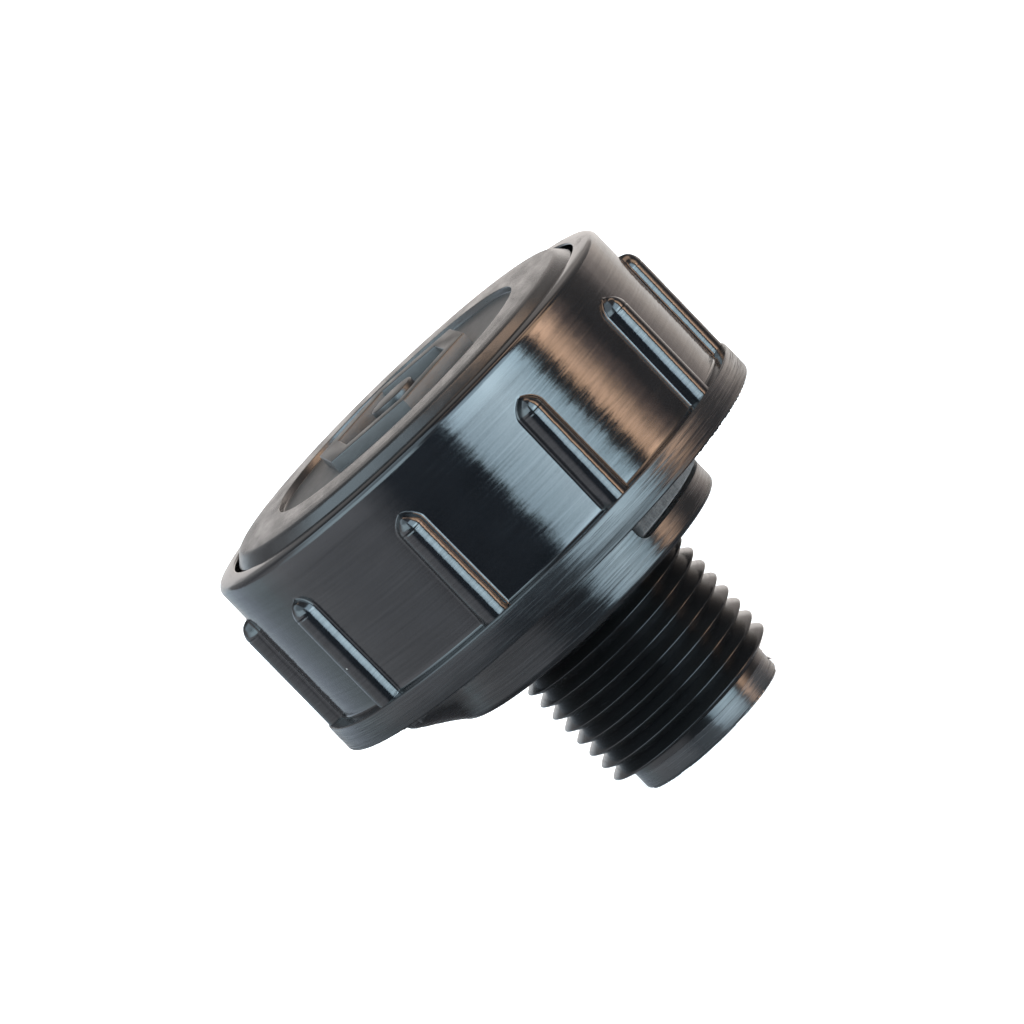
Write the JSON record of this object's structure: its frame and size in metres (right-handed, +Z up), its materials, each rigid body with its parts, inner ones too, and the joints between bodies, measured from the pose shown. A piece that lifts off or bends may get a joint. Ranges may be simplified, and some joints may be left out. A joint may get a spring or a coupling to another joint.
{
  "type": "pneumatic exhaust muffler",
  "caption": "Round plastic pneumatic muffler: taper-threaded stem and hub, screw-on ribbed collar holding a disc lid, felt element inside, exhaust windows in the hub.",
  "frame": {"origin": "on the axis, in the plane of the threaded stem's end", "axes": "+Z up the axis from the stem to the lid; -Y is the front, between two ribs; +X right"},
  "size_m": [0.0444, 0.0444, 0.0377],
  "materials": {
    "base_plastic": "gloss black moulding",
    "collar_plastic": "gloss black moulding with fine turning scratches",
    "lid_plastic": "satin black moulding",
    "grey_felt": "grey needle felt",
    "zinc_steel": "zinc plated",
    "tube_plastic": "matte dark moulding",
    "screen_steel": "woven wire",
    "white_felt": "off-white needle felt"
  },
  "bodies": {
    "base": {"threaded_base": "base_plastic", "exhaust_felt": "grey_felt", "support_plate": "zinc_steel", "diffuser_tube": "tube_plastic", "screen_sleeve": "screen_steel", "felt_sleeve": "white_felt", "felt_top_pad": "white_felt"},
    "lid": {"lid_disc": "lid_plastic"},
    "collar": {"ribbed_collar": "collar_plastic"}
  },
  "joints": [
    {"name": "lid_lift", "type": "slide", "parent": "base", "child": "lid", "axis": [0, 0, 1], "range_m": [0, 0.005]},
    {"name": "collar_turn", "type": "hinge", "parent": "lid", "child": "collar", "pos_m": [0, 0, 0.01945], "axis": [0, 0, 1], "range_deg": [0, 720]}
  ],
  "couplings": [
    {"joint": "lid_lift", "follows": "collar_turn", "m_per_rad": 0.00039789}
  ]
}
